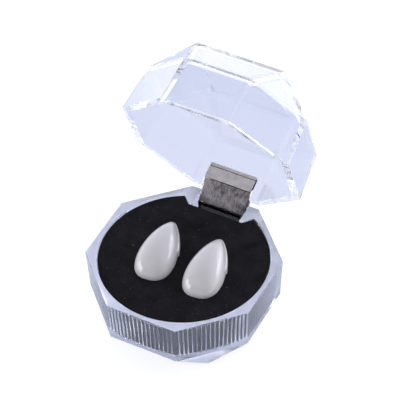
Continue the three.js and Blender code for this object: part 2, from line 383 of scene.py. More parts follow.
@dataclass(frozen=True)
class GlossyResin:
    """Cast white resin, polished: milky, a little light goes in, and a clear glaze on top."""

    colour: str = "F3EEEA"
    shade: str = "EBE7E5"
    cloud_size: float = 4.0 * MM
    roughness: float = 0.07

    def material(self) -> bpy.types.Material:
        """Builds the finish."""
        material, tree = empty_material("glossy_white_resin")
        place = add_node(tree, "ShaderNodeTexCoord")
        clouds = add_node(
            tree, "ShaderNodeTexNoise",
            {"Vector": place.outputs["Object"], "Scale": 1 / self.cloud_size, "Detail": 2.0},
        )
        colour = add_node(
            tree, "ShaderNodeMix",
            {"Factor": clouds.outputs["Fac"], 6: linear(self.colour), 7: linear(self.shade)},
            data_type="RGBA",
        )
        surface = add_node(
            tree, "ShaderNodeBsdfPrincipled",
            {"Base Color": colour.outputs[2], "Roughness": self.roughness, "IOR": 1.5,
             "Subsurface Weight": 0.25, "Subsurface Radius": (1.0, 0.95, 0.9), "Subsurface Scale": 0.8 * MM,
             "Coat Weight": 0.6, "Coat Roughness": 0.03},
        )
        add_node(tree, "ShaderNodeOutputMaterial", {"Surface": surface.outputs["BSDF"]})
        return material


@dataclass(frozen=True)
class BlackVelvet:
    """Flocked black velvet: almost no light comes back, with a soft bloom at grazing angles."""

    pile: str = "151315"
    lint: str = "29262A"
    dust: str = "47444A"
    pile_size: float = 0.25 * MM

    def material(self) -> bpy.types.Material:
        """Builds the finish."""
        material, tree = empty_material("black_velvet")
        place = add_node(tree, "ShaderNodeTexCoord")
        pile, brushed, dust = (
            add_node(
                tree, "ShaderNodeTexNoise",
                {"Vector": place.outputs["Object"], "Scale": 1 / (size * self.pile_size), "Detail": detail},
            )
            for size, detail in ((1, 3.0), (14, 3.0), (2, 1.0))
        )
        mottling = add_node(
            tree, "ShaderNodeMath",
            {0: pile.outputs["Fac"], 1: brushed.outputs["Fac"]},
            operation="MULTIPLY",
        )
        tone = add_node(
            tree, "ShaderNodeMapRange",
            {"Value": mottling.outputs[0], "From Min": 0.15, "From Max": 0.45},
        )
        colour = add_node(
            tree, "ShaderNodeMix",
            {"Factor": tone.outputs["Result"], 6: linear(self.pile), 7: linear(self.lint)},
            data_type="RGBA",
        )
        speck = add_node(
            tree, "ShaderNodeMapRange", {"Value": dust.outputs["Fac"], "From Min": 0.7, "From Max": 0.8},
        )
        dusty = add_node(
            tree, "ShaderNodeMix",
            {"Factor": speck.outputs["Result"], 6: colour.outputs[2], 7: linear(self.dust)},
            data_type="RGBA",
        )
        bump = add_node(
            tree, "ShaderNodeBump",
            {"Height": pile.outputs["Fac"], "Strength": 0.6, "Distance": 0.1 * MM},
        )
        surface = add_node(
            tree, "ShaderNodeBsdfPrincipled",
            {"Base Color": dusty.outputs[2], "Roughness": 0.95, "Specular IOR Level": 0.15,
             "Sheen Weight": 0.12, "Sheen Roughness": 0.4, "Normal": bump.outputs["Normal"]},
        )
        add_node(tree, "ShaderNodeOutputMaterial", {"Surface": surface.outputs["BSDF"]})
        return material


@dataclass(frozen=True)
class SheetSteel:
    """Thin rolled sheet steel: satin, with clouds of tarnish and slanted marks; folded sides that face
    along X are darkened by painted shade.
    """

    name: str
    light: str
    dark: str
    roughness: float
    cloud_size: float = 1.6 * MM
    mark_width: float = 0.22 * MM
    mark_slant: float = math.radians(24)
    mark_stretch: tuple[float, float, float] = (1.0, 0.25, 0.25)
    mark_share: float = 0.5
    painted_side_shade: float = 1.0

    def material(self) -> bpy.types.Material:
        """Builds the finish."""
        material, tree = empty_material(self.name)
        place = add_node(tree, "ShaderNodeTexCoord")
        along = add_node(
            tree, "ShaderNodeMapping",
            {"Vector": place.outputs["Object"], "Rotation": (0.0, self.mark_slant, 0.0),
             "Scale": self.mark_stretch},
        )
        marks = add_node(
            tree, "ShaderNodeTexNoise",
            {"Vector": along.outputs["Vector"], "Scale": 1 / self.mark_width, "Detail": 5.0,
             "Roughness": 0.65},
        )
        clouds = add_node(
            tree, "ShaderNodeTexNoise",
            {"Vector": place.outputs["Object"], "Scale": 1 / self.cloud_size, "Detail": 6.0,
             "Roughness": 0.6},
        )
        blend = add_node(
            tree, "ShaderNodeMix",
            {"Factor": self.mark_share, 2: clouds.outputs["Fac"], 3: marks.outputs["Fac"]},
        )
        tone = add_node(
            tree, "ShaderNodeMapRange", {"Value": blend.outputs[0], "From Min": 0.38, "From Max": 0.62},
        )
        colour = add_node(
            tree, "ShaderNodeMix",
            {"Factor": tone.outputs["Result"], 6: linear(self.dark), 7: linear(self.light)},
            data_type="RGBA",
        )
        # Painted shade: faces that look along X, such as the cover's folded ears, take a darker colour by
        # their facing alone.
        facing = add_node(tree, "ShaderNodeSeparateXYZ", {0: place.outputs["Normal"]})
        sideways = add_node(tree, "ShaderNodeMath", {0: facing.outputs["X"]}, operation="ABSOLUTE")
        shade = add_node(
            tree, "ShaderNodeMapRange",
            {"Value": sideways.outputs[0], "From Min": 0.6, "From Max": 0.9, "To Min": 1.0,
             "To Max": self.painted_side_shade},
        )
        shaded = add_node(
            tree, "ShaderNodeVectorMath", {0: colour.outputs[2], "Scale": shade.outputs[0]},
            operation="SCALE",
        )
        bump = add_node(
            tree, "ShaderNodeBump",
            {"Height": marks.outputs["Fac"], "Strength": 0.3, "Distance": 0.02 * MM},
        )
        surface = add_node(
            tree, "ShaderNodeBsdfPrincipled",
            {"Base Color": shaded.outputs["Vector"], "Metallic": 1.0, "Roughness": self.roughness,
             "Normal": bump.outputs["Normal"]},
        )
        add_node(tree, "ShaderNodeOutputMaterial", {"Surface": surface.outputs["BSDF"]})
        return material


SATIN_STEEL = SheetSteel("satin_steel", light="BCB6B0", dark="A29C99", roughness=0.3)
# The base leaf's steel: polished, with a colour darker than the lid leaf's by painted shade.
POLISHED_STEEL_PAINTED_SHADE = SheetSteel("polished_steel", light="5E5B57", dark="4C4946", roughness=0.1)
# The cover's ears carry painted shade: their colour drops to 0.12 of the rest.
SPRING_STEEL = SheetSteel("spring_steel", light="BDB6B6", dark="5C5658", roughness=0.34, painted_side_shade=0.12)


# The object


@dataclass(frozen=True)
class Facets:
    """An octagonal wall that leans in, then facets down to a square: the form of base, lid and hollow."""

    across_flats: float
    draft: float
    wall_height: float
    bevel_height: float
    square_side: float
    round_segments: int = 3
    round_above: float = math.radians(15)

    def build(self, name: str, start_z: float, facing: Facing, edge_round: float = 0.0) -> bpy.types.Object:
        """Models the block from an octagonal prism.

        Args:
            name: The block's name.
            start_z: The height of the octagon that it starts from.
            facing: Which way it narrows.
            edge_round: The rounding of its edges.

        Returns:
            The block.
        """
        to_corner = 1 / math.cos(math.pi / 8)
        apothem = self.across_flats / 2
        way = facing.value
        bpy.ops.mesh.primitive_cylinder_add(
            vertices=8, radius=apothem * to_corner, depth=self.wall_height,
            location=(0, 0, start_z + way * self.wall_height / 2), rotation=(0, 0, math.pi / 8),
        )
        piece = named(name)
        wall_end = start_z + way * self.wall_height
        narrowing = (apothem - self.draft) / apothem
        with editing(piece):
            pick_faces(piece, lambda _, normal: normal.z * way > SQUARE_ON)
            rescale((narrowing, narrowing, 1), (0, 0, wall_end))
            extrude((0, 0, way * self.bevel_height))
            far_z = wall_end + way * self.bevel_height
            for x_side in (1, -1):
                for y_side in (1, -1):
                    pick_vertices(
                        piece,
                        lambda _, at: (
                            abs(at.z - far_z) < SAME_PLACE and at.x * x_side > 0 and at.y * y_side > 0
                        ),
                    )
                    bpy.ops.mesh.merge(type="CENTER")
            merged_half = (apothem - self.draft) * to_corner * math.cos(math.pi / 8) / math.sqrt(2)
            shrink = self.square_side / 2 / merged_half
            pick_vertices(piece, lambda _, at: abs(at.z - far_z) < SAME_PLACE)
            rescale((shrink, shrink, 1), (0, 0, far_z))
        if edge_round > 0:
            apply_modifier(
                piece, "BEVEL", width=edge_round, segments=self.round_segments, limit_method="ANGLE",
                angle_limit=self.round_above,
            )
        return piece


@dataclass(frozen=True)
class Pivot:
    """The hinge's axis, with how far the lid stands open from shut."""

    y: float
    z: float
    open_angle: float

    def opened(self, turn_share: float) -> Matrix:
        """Gives the placement of what is made shut, in the pivot's own frame.

        Args:
            turn_share: 1 for the lid and less for what turns only a part of the way.

        Returns:
            The placement matrix.
        """
        turn = Matrix.Rotation(-self.open_angle * turn_share, 4, "X")
        return Matrix.Translation((0, self.y, self.z)) @ turn


@dataclass
class ClearBox:
    """The clear base with its fluted cup, and the faceted lid."""

    pivot: Pivot
    rim_z: float
    across_flats: float
    foot_side: float = 23.9 * MM
    bevel_height: float = 6.5 * MM
    base_draft: float = 0.55 * MM
    cup_wall: float = 1.0 * MM
    cup_depth: float = 10.2 * MM
    cup_draft: float = 0.55 * MM
    lip_depth: float = 1.1 * MM
    flute_pitch: float = 0.98 * MM
    flute_depth: float = 0.155 * MM
    flute_points: int = 12
    block_front: float = 13.2 * MM
    block_depth: float = 4.1 * MM
    block_flare: float = 2.2 * MM
    pocket_width: float = 11.9 * MM
    pocket_reach: float = 5.6 * MM
    lid_wall_height: float = 11.15 * MM
    lid_draft: float = 0.95 * MM
    lid_bevel_height: float = 8.1 * MM
    table_side: float = 20.8 * MM
    lid_wall: float = 1.9 * MM
    lid_bevel_wall: float = 1.6 * MM
    table_wall: float = 1.8 * MM
    edge_round: float = 0.1 * MM
    hollow_round: float = 1.0 * MM
    hollow_segments: int = 5
    rim_flatness: float = 0.99
    base_smooth: float = 38.0
    lid_smooth: float = 28.0

    @property
    def cup_radius(self) -> float:
        """The cup's radius at the rim, behind the flutes."""
        return self.across_flats / 2 - self.cup_wall

    def cup_tool(self) -> bpy.types.Object:
        """Models the fluted space of the cup, as the tool that cuts it.

        Returns:
            The tool.
        """
        flutes = round(2 * math.pi * self.cup_radius / self.flute_pitch)
        count = flutes * self.flute_points
        bpy.ops.mesh.primitive_circle_add(
            vertices=count, radius=self.cup_radius, fill_type="NGON", location=(0, 0, self.rim_z),
        )
        tool = named("cup_tool")
        bottom = self.rim_z - self.cup_depth
        with editing(tool):
            for phase in range(1, self.flute_points):
                inward = self.flute_depth * (1 - (2 * phase / self.flute_points - 1) ** 2)
                shrink = 1 - inward / self.cup_radius
                pick_vertices(tool, lambda index, _: index % self.flute_points == phase)
                rescale((shrink, shrink, 1), (0, 0, self.rim_z))
            bpy.ops.mesh.select_all(action="SELECT")
            extrude((0, 0, -self.cup_depth))
            taper = 1 - self.cup_draft / self.cup_radius
            rescale((taper, taper, 1), (0, 0, bottom))
            face_outward()
        bpy.ops.mesh.primitive_cylinder_add(
            vertices=count, radius=self.cup_radius, depth=self.lip_depth + OVERCUT,
            location=(0, 0, self.rim_z + (OVERCUT - self.lip_depth) / 2),
        )
        combine(tool, named("lip_tool"), Cut.JOIN)
        return tool

    def guide_block(self) -> bpy.types.Object:
        """Models the block behind the pad that guides the hinge: a cuboid whose back flares out.

        Returns:
            The block.
        """
        front = self.cup_radius - self.block_depth
        half = self.block_front / 2
        top = self.rim_z + 3 * OVERCUT
        guide = block("guide_block", (-half, front, -OVERCUT), (half, front + self.block_flare, top))
        with editing(guide):
            pick_faces(guide, lambda _, normal: normal.y > SQUARE_ON)
            flare = 1 + self.block_flare / half
            rescale((flare, 1, 1), (0, front, self.rim_z))
            extrude((0, self.block_depth, 0))
        return guide

    def pocket(self, name: str, low_z: float, high_z: float) -> bpy.types.Object:
        """Models the space that the hinge takes from a back wall.

        Args:
            name: The tool's name.
            low_z: Its lowest height.
            high_z: Its highest height.

        Returns:
            The tool.
        """
        half = self.pocket_width / 2
        front = self.cup_radius - self.block_depth - OVERCUT
        return block(name, (-half, front, low_z), (half, self.across_flats, high_z))

    def build_base(self) -> bpy.types.Object:
        """Models the base.

        Returns:
            The base, in place.
        """
        facets = Facets(
            self.across_flats, self.base_draft, self.rim_z - self.bevel_height, self.bevel_height,
            self.foot_side,
        )
        base = facets.build("acrylic_base", self.rim_z, Facing.DOWN, self.edge_round)
        cup = self.cup_tool()
        combine(cup, self.guide_block(), Cut.AWAY)
        combine(base, cup, Cut.AWAY)
        low = self.pivot.z - self.pocket_reach
        combine(base, self.pocket("base_pocket", low, self.rim_z + OVERCUT), Cut.AWAY)
        smooth_by_angle(base, self.base_smooth)
        # The flat top of the rim takes the second finish.
        for face in base.data.polygons:
            if face.normal.z > self.rim_flatness and face.center.z > self.rim_z - SAME_PLACE:
                face.material_index = 1
        return base

    def lid_hollow(self) -> bpy.types.Object:
        """Models the lid's hollow, which keeps its distance to every outer face.

        Returns:
            The tool, shut, with the rim at height 0.
        """
        apothem = self.across_flats / 2
        lean = self.lid_draft / self.lid_wall_height
        run = apothem - self.lid_draft - self.table_side / 2
        steepness = self.lid_bevel_height / run
        rise = self.lid_bevel_wall * math.hypot(run, self.lid_bevel_height) / run
        start = apothem - self.lid_wall
        level = self.lid_wall_height - rise + (self.lid_wall - self.lid_draft) * steepness
        shoulder = level / (1 - steepness * lean)
        ceiling = self.lid_wall_height + self.lid_bevel_height - self.table_wall
        half = start - lean * shoulder - (ceiling - shoulder) / steepness
        facets = Facets(
            2 * (start + lean * OVERCUT), lean * (shoulder + OVERCUT), shoulder + OVERCUT,
            ceiling - shoulder, 2 * half,
        )
        hollow = facets.build("lid_hollow_tool", -OVERCUT, Facing.UP)
        with editing(hollow):
            pick_vertices(hollow, lambda _, at: at.z > shoulder - SAME_PLACE)
            bpy.ops.mesh.bevel(offset=self.hollow_round, segments=self.hollow_segments, affect="EDGES")
        return hollow

    def build_lid(self) -> bpy.types.Object:
        """Models the lid, shut, and turns it open.

        Returns:
            The lid, in place.
        """
        facets = Facets(
            self.across_flats, self.lid_draft, self.lid_wall_height, self.lid_bevel_height, self.table_side,
        )
        lid = facets.build("acrylic_lid", 0, Facing.UP, self.edge_round)
        combine(lid, self.lid_hollow(), Cut.AWAY)
        combine(lid, self.pocket("lid_pocket", -OVERCUT, self.pocket_reach - SEAT_GAP / 2), Cut.AWAY)
        shut = Matrix.Translation((0, -self.pivot.y, SEAT_GAP / 2))
        lid.data.transform(self.pivot.opened(1.0) @ shut)
        smooth_by_angle(lid, self.lid_smooth)
        return lid

    def build(self) -> None:
        """Builds, dresses and attaches both halves."""
        for piece, finishes, body, node in (
            (self.build_base(), (FLUTED_ACRYLIC, SATIN_RIM), Body.BOX, "box_base"),
            (self.build_lid(), (POLISHED_ACRYLIC,), Body.LID, "lid_shell"),
        ):
            dress(piece, *(finish.material() for finish in finishes))
            attach(piece, body, node)


@dataclass(frozen=True)
class Section:
    """One section of a fang: its place along the length, and its width and height as shares."""

    along: float
    width: float
    height: float


FANG_SECTIONS = (
    Section(-0.024, 0.24, 0.1),
    Section(-0.01, 0.46, 0.26),
    Section(0.028, 0.7, 0.48),
    Section(0.1, 0.905, 0.71),
    Section(0.2, 1.02, 0.88),
    Section(0.3, 1.05, 0.975),
    Section(0.4, 1.03, 1.01),
    Section(0.5, 0.975, 0.995),
    Section(0.6, 0.885, 0.955),
    Section(0.7, 0.76, 0.88),
    Section(0.8, 0.6, 0.76),
    Section(0.9, 0.385, 0.58),
    Section(0.96, 0.23, 0.43),
    Section(0.99, 0.11, 0.31),
    Section(1.0, 0.04, 0.24),
)


@dataclass
class FangPair:
    """The two caps, modelled once on their own axis and set down side by side."""

    pad_top: float
    length: float = 16.3 * MM
    width: float = 8.5 * MM
    height: float = 4.8 * MM
    wall: float = 0.75 * MM
    rim_height: float = 0.2 * MM
    back_length: float = 8.1 * MM
    back_proud: float = 0.25 * MM
    back_height: float = 1.5 * MM
    tip_solid: float = 3.4 * MM
    spacing: float = 11.7 * MM
    pair_x: float = 0.65 * MM
    pair_y: float = -0.95 * MM
    turn: float = math.radians(7.8)
    ring_points: int = 8
    squareness: float = 1.045
    ring_shrink: float = 0.93
    subdivisions: int = 3
    voxel: float = 0.16 * MM
    smoothings: int = 5
    finish: GlossyResin = field(default_factory=GlossyResin)

    def form(self, name: str, wall: float) -> bpy.types.Object:
        """Models a full round form from rings that are extruded from the gum end to the tip.

        Args:
            name: The form's name.
            wall: How far it stands back from the outer form.

        Returns:
            The closed form, as deep below its own floor as it is high above it.
        """
        half = (self.width / 2 - wall) / self.ring_shrink
        tall = (self.height - wall) / self.ring_shrink
        length = self.length - 2 * wall
        first = FANG_SECTIONS[0]
        start = wall + first.along * length
        bpy.ops.mesh.primitive_circle_add(
            vertices=self.ring_points, radius=half * first.width, fill_type="NGON", location=(0, start, 0),
            rotation=(math.pi / 2, 0, 0),
        )
        piece = named(name)
        with editing(piece):
            pick_vertices(piece, lambda index, _: index % 2 == 1)
            rescale((self.squareness, 1, self.squareness), (0, start, 0))
            bpy.ops.mesh.select_all(action="SELECT")
            flatness = (tall * first.height) / (half * first.width)
            rescale((1, 1, flatness), (0, start, 0))
            for before, after in zip(FANG_SECTIONS, FANG_SECTIONS[1:]):
                step = (after.along - before.along) * length
                extrude((0, step, 0))
                rescale(
                    (after.width / before.width, 1, after.height / before.height),
                    (0, wall + after.along * length, 0),
                )
            face_outward()
        apply_modifier(piece, "SUBSURF", levels=self.subdivisions, render_levels=self.subdivisions)
        return piece

    def build_cap(self) -> bpy.types.Object:
        """Models one cap: front shell, wider back shell near the tip, and the tooth hollow.

        Returns:
            The cap on its own axis, gum end at Y = 0.
        """
        back = self.length - self.back_length
        wide = self.width
        far = 2 * self.length
        cap = self.form("fang_form", 0)
        back_shell = self.form("back_shell", 0)
        back_shell.data.transform(Matrix.Translation((self.back_proud, 0, 0)))
        combine(back_shell, block("back_limit", (-wide, -OVERCUT, -wide), (wide, back, wide)), Cut.AWAY)
        combine(
            back_shell, block("back_top", (-wide, -OVERCUT, self.back_height), (wide, far, wide)), Cut.AWAY,
        )
        combine(cap, back_shell, Cut.JOIN)
        hollow = self.form("tooth_hollow", self.wall)
        tip_start = self.length - self.tip_solid
        combine(hollow, block("solid_tip", (-wide, tip_start, -wide), (wide, far, wide)), Cut.AWAY)
        combine(hollow, block("back_wall", (-wide, back, -wide), (wide, far, self.wall)), Cut.AWAY)
        combine(cap, hollow, Cut.AWAY)
        combine(
            cap, block("below_rim", (-wide, -OVERCUT, -wide), (wide, far, -self.rim_height)), Cut.AWAY,
        )
        apply_modifier(cap, "REMESH", mode="VOXEL", voxel_size=self.voxel, adaptivity=0.0)
        apply_modifier(cap, "SMOOTH", factor=0.5, iterations=self.smoothings)
        only(cap)
        bpy.ops.object.shade_smooth()
        return cap

    def build(self) -> None:
        """Builds, dresses and attaches both caps."""
        material = self.finish.material()
        left = self.build_cap()
        only(left)
        bpy.ops.object.duplicate(linked=False)
        right = bpy.context.view_layer.objects.active
        lowest = min(vertex.co.z for vertex in left.data.vertices)
        for cap, side, name in ((left, -1, "fang_left"), (right, 1, "fang_right")):
            cap.name = name + "_cap"
            x = self.pair_x + side * self.spacing / 2
            place = Matrix.Translation((x, self.pair_y, self.pad_top - lowest))
            turn = Matrix.Rotation(self.turn, 4, "Z")
            cap.data.transform(place @ turn @ Matrix.Translation((0, -self.length / 2, 0)))
            dress(cap, material)
            attach(cap, Body.BOX, name)


@dataclass
class VelvetPad:
    """The black pad: a foam disc under velvet, crowned at its edge, with a notch for the guide block."""

    box: ClearBox
    top_z: float
    edge_gap: float = 0.08 * MM
    edge_round: float = 0.5 * MM
    notch_gap: float = 0.15 * MM
    ring_points: int = 192
    crown_steps: tuple[int, ...] = (60, 40, 20, 0)
    finish: BlackVelvet = field(default_factory=BlackVelvet)

    def build(self) -> None:
        """Builds, dresses and attaches the pad."""
        box = self.box
        radius = box.cup_radius - self.edge_gap
        flutes_inside = box.cup_radius - box.flute_depth - self.edge_gap
        bottom = box.rim_z - box.cup_depth + SEAT_GAP
        bpy.ops.mesh.primitive_circle_add(
            vertices=self.ring_points, radius=flutes_inside - box.cup_draft, fill_type="NGON",
            location=(0, 0, bottom),
        )
        pad = named("velvet_pad_disc")
        shoulder = box.rim_z - box.lip_depth
        with editing(pad):
            bpy.ops.mesh.select_all(action="SELECT")
            at, size = bottom, flutes_inside - box.cup_draft
            crown = [
                (
                    radius - self.edge_round * (1 - math.sin(angle)),
                    self.top_z - self.edge_round * (1 - math.cos(angle)),
                )
                for angle in map(math.radians, self.crown_steps)
            ]
            for next_size, next_z in ((flutes_inside, shoulder), *crown):
                extrude((0, 0, next_z - at))
                rescale((next_size / size, next_size / size, 1), (0, 0, next_z))
                at, size = next_z, next_size
            face_outward()
        guide = box.guide_block()
        guide.data.transform(Matrix.Translation((0, -self.notch_gap, 0)))
        combine(pad, guide, Cut.AWAY)
        dress(pad, self.finish.material())
        smooth_by_angle(pad)
        attach(pad, Body.BOX, "velvet_pad")


@dataclass
class Hinge:
    """The sheet-steel hinge: two bent leaves, a cover with ears, and the pin, in the pivot's own frame."""

    pivot: Pivot
    sheet: float = 0.25 * MM
    behind_wall: float = 0.4 * MM
    pin_radius: float = 0.4 * MM
    knuckle_radius: float = 0.85 * MM
    leaf_width: float = 11.3 * MM
    leaf_depth: float = 2.9 * MM
    leaf_reach: float = 5.3 * MM
    hem_height: float = 0.7 * MM
    hem_proud: float = 0.1 * MM
    hem_groove: float = 0.16 * MM
    lid_knuckle: float = 3.8 * MM
    cover_width: float = 11.2 * MM
    cover_height: float = 5.44 * MM
    cover_standoff: float = 1.35 * MM
    swing_gap: float = 0.04 * MM
    back_end: float = 1.2 * MM
    strap_end: float = 1.5 * MM
    bore_gap: float = 0.1 * MM
    bar_sides: int = 32
    bend: float = 0.22 * MM
    bend_segments: int = 4
    edge_round: float = 0.04 * MM
    edge_segments: int = 2
    round_above: float = math.radians(50)

    @property
    def ear_room(self) -> float:
        """How far from the middle the leaves reach beside the cover's ears."""
        return self.cover_width / 2 - self.sheet - SEAT_GAP

    def bent_sheet(self, name: str, path: Sequence[tuple[float, float]], width: float) -> bpy.types.Object:
        """Bends a strip of sheet along a path of (Y, Z) points on its outer face, in the middle of X = 0.

        Args:
            name: The strip's name.
            path: The outer face's corners, with the sheet's thickness to the left of the way.
            width: The strip's width along X.

        Returns:
            The solid strip.
        """
        (start_y, start_z), *rest = path
        bpy.ops.mesh.primitive_plane_add(size=width, location=(0, start_y, start_z))
        strip = named(name)
        with editing(strip):
            pick_vertices(strip, lambda _, at: at.y > start_y)
            bpy.ops.mesh.delete(type="VERT")
            bpy.ops.mesh.select_all(action="SELECT")
            bpy.ops.transform.translate(value=(0, width / 2, 0))
            at_y, at_z = start_y, start_z
            for next_y, next_z in rest:
                extrude((0, next_y - at_y, next_z - at_z))
                at_y, at_z = next_y, next_z
        apply_modifier(strip, "BEVEL", width=self.bend, segments=self.bend_segments, limit_method="ANGLE")
        apply_modifier(strip, "SOLIDIFY", thickness=self.sheet, offset=-1)
        return strip

    def bar(self, name: str, radius: float, low_x: float, high_x: float) -> bpy.types.Object:
        """Makes a round bar along the pivot.

        Args:
            name: The bar's name.
            radius: Its radius.
            low_x: Where it starts.
            high_x: Where it ends.

        Returns:
            The bar.
        """
        bpy.ops.mesh.primitive_cylinder_add(
            vertices=self.bar_sides, radius=radius, depth=high_x - low_x,
            location=((low_x + high_x) / 2, 0, 0), rotation=(0, math.pi / 2, 0),
        )
        return named(name)

    def finish(self, piece: bpy.types.Object, placement: Matrix) -> None:
        """Rounds a piece's edges and sets it in its place.

        Args:
            piece: The piece in the pivot's frame.
            placement: Where it goes.
        """
        apply_modifier(
            piece, "BEVEL", width=self.edge_round, segments=self.edge_segments, limit_method="ANGLE",
            angle_limit=self.round_above,
        )
        piece.data.transform(placement)
        smooth_by_angle(piece)

    def bore(self) -> bpy.types.Object:
        """Makes the tool that cuts the pin's hole."""
        return self.bar("bore", self.pin_radius + self.bore_gap, -self.leaf_width, self.leaf_width)

    def build_leaf(self, name: str, knuckles: Sequence[tuple[float, float]]) -> bpy.types.Object:
        """Models a leaf as it sits on the lid: visible face, bend over the pocket's end, back and knuckles.

        Args:
            name: The leaf's name.
            knuckles: Where each knuckle starts and ends along the pin.

        Returns:
            The leaf in the pivot's frame.
        """
        swing = math.hypot(self.cover_standoff, self.cover_height / 2) + self.swing_gap
        near = math.sqrt(swing ** 2 - (self.leaf_depth - self.sheet) ** 2)
        back = -self.behind_wall
        face = -self.leaf_depth
        leaf = self.bent_sheet(
            name, [(face, near), (face, self.leaf_reach), (back, self.leaf_reach), (back, self.back_end)],
            self.leaf_width,
        )
        half = self.leaf_width / 2
        hem_low = self.leaf_reach - self.hem_height
        inside = face + self.sheet / 2
        hem = block("hem", (-half, face - self.hem_proud, hem_low), (half, inside, self.leaf_reach))
        combine(leaf, hem, Cut.JOIN)
        groove_low = hem_low - self.hem_groove
        groove = block("hem_groove", (-2 * half, face - OVERCUT, groove_low), (2 * half, inside, hem_low))
        combine(leaf, groove, Cut.AWAY)
        for side in (-1, 1):
            low_x, high_x = sorted((side * self.ear_room, side * self.leaf_width))
            room = block("ear_room", (low_x, back - 2 * self.sheet, -swing), (high_x, 2 * OVERCUT, swing))
            combine(leaf, room, Cut.AWAY)
        for low_x, high_x in knuckles:
            strap = block("strap", (low_x, back - self.sheet, 0), (high_x, back, self.strap_end))
            combine(leaf, strap, Cut.JOIN)
            combine(leaf, self.bar("knuckle", self.knuckle_radius, low_x, high_x), Cut.JOIN)
        combine(leaf, self.bore(), Cut.AWAY)
        return leaf

    def build_cover(self) -> bpy.types.Object:
        """Models the cover: a plate whose sides are folded back into ears that hang on the pin.

        Returns:
            The cover, upright in the pivot's frame.
        """
        half = self.cover_width / 2
        tall = self.cover_height / 2
        face = -self.cover_standoff
        cover = block("hinge_cover_plate", (-half, face, -tall), (half, face + self.sheet, tall))
        for side in (-1, 1):
            outer = side * half
            inner = outer - side * self.sheet
            low_x, high_x = sorted((outer, inner))
            ear = block("ear", (low_x, face, -tall), (high_x, 0, tall))
            with editing(ear):
                pick_faces(ear, lambda _, normal: normal.y > SQUARE_ON)
                rescale((1, 1, self.knuckle_radius / tall), (0, 0, 0))
            combine(ear, self.bar("ear_eye", self.knuckle_radius, low_x, high_x), Cut.JOIN)
            combine(cover, ear, Cut.JOIN)
        with editing(cover):
            bpy.ops.mesh.select_mode(type="EDGE")
            mesh = bmesh.from_edit_mesh(cover.data)
            for edge in mesh.edges:
                low, high = (vertex.co for vertex in edge.verts)
                at_fold = all(
                    abs(abs(at.x) - half) < SAME_PLACE and abs(at.y - face) < SAME_PLACE
                    for at in (low, high)
                )
                edge.select_set(at_fold and abs(high.z - low.z) > tall)
            bmesh.update_edit_mesh(cover.data)
            bpy.ops.mesh.bevel(offset=self.bend, segments=self.bend_segments, affect="EDGES")
        combine(cover, self.bore(), Cut.AWAY)
        return cover

    def build_pin(self) -> bpy.types.Object:
        """Models the pin, in the pivot's frame."""
        half = (self.cover_width + self.sheet) / 2
        return self.bar("hinge_pin_rod", self.pin_radius, -half, half)

    def build(self) -> None:
        """Builds, dresses and attaches the hinge."""
        middle = self.lid_knuckle / 2
        lid_leaf = self.build_leaf("lid_leaf_sheet", [(-middle, middle)])
        base_leaf = self.build_leaf(
            "base_leaf_sheet", [(-self.ear_room, -middle - SEAT_GAP), (middle + SEAT_GAP, self.ear_room)],
        )
        turned_over = self.pivot.opened(0) @ Matrix.Rotation(math.pi, 4, "Y")
        satin = SATIN_STEEL.material()
        # The base leaf takes the darker steel with painted shade; the cover's ears carry painted shade in
        # spring steel.
        for piece, placement, material, body, node, slot in (
            (lid_leaf, self.pivot.opened(1), satin, Body.LID, "hinge_lid_leaf", "satin_steel"),
            (base_leaf, turned_over, POLISHED_STEEL_PAINTED_SHADE.material(), Body.BOX, "hinge_base_leaf", "satin_steel"),
            (self.build_pin(), self.pivot.opened(0), satin, Body.BOX, "hinge_pin", "satin_steel"),
            (
                self.build_cover(), self.pivot.opened(0.5), SPRING_STEEL.material(), Body.COVER,
                "hinge_cover", "spring_steel",
            ),
        ):
            self.finish(piece, placement)
            dress(piece, material)
            attach(piece, body, node)


def attach(piece: bpy.types.Object, body: Body, node: str) -> None:
    """Makes a piece ride on a body and stand for a solid, whose own part is hidden.

    Args:
        piece: The finished piece.
        body: The body that carries it.
        node: The solid that it stands for.
    """
    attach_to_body(piece, body.value)
    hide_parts(node)
    LOG.info("%s rides on %s and stands for %s", piece.name, body.value, node)


# The studio


@dataclass(frozen=True)
class Camera:
    """The photograph's viewpoint, solved from the box's corners: a long lens, above and to the right."""

    azimuth: float = math.radians(28.418)
    elevation: float = math.radians(46.295)
    roll: float = math.radians(-1.558)
    distance: float = 522.42 * MM
    aim_right: float = 5.551 * MM
    aim_up: float = 10.444 * MM
    focal_pixels: float = 2400.0
    frame_pixels: float = 416.0
    sensor: float = 36.0

    def build(self, rim_z: float) -> None:
        """Sets the camera up.

        Args:
            rim_z: The height of the base's rim, whose middle the viewpoint is measured from.
        """
        back = Vector((
            math.sin(self.azimuth) * math.cos(self.elevation),
            -math.cos(self.azimuth) * math.cos(self.elevation),
            math.sin(self.elevation),
        ))
        level = Vector((math.cos(self.azimuth), math.sin(self.azimuth), 0))
        upright = back.cross(level)
        right = math.cos(self.roll) * level + math.sin(self.roll) * upright
        up = math.cos(self.roll) * upright - math.sin(self.roll) * level
        place = (
            back * self.distance + level * self.aim_right + upright * self.aim_up + Vector((0, 0, rim_z))
        )
        data = bpy.data.cameras.new("photo_camera")
        data.sensor_width = self.sensor
        data.lens = self.focal_pixels * self.sensor / self.frame_pixels
        camera = bpy.data.objects.new("photo_camera", data)
        bpy.context.scene.collection.objects.link(camera)
        camera.matrix_world = Matrix((
            (right.x, up.x, back.x, place.x),
            (right.y, up.y, back.y, place.y),
            (right.z, up.z, back.z, place.z),
            (0, 0, 0, 1),
        ))
        bpy.context.scene.camera = camera


class Lit(Enum):
    """The pieces that a soft box lights."""

    ALL = "all"
    ALL_BUT_ACRYLIC = "all but acrylic"
    ACRYLIC_BASE = "acrylic base"

    def takes(self, piece_name: str) -> bool:
        """Says whether a piece is among them.

        Args:
            piece_name: The piece's name.

        Returns:
            True where the lamp lights the piece.
        """
        if self is Lit.ACRYLIC_BASE:
            return piece_name == "acrylic_base"
        return self is Lit.ALL or not piece_name.startswith("acrylic")


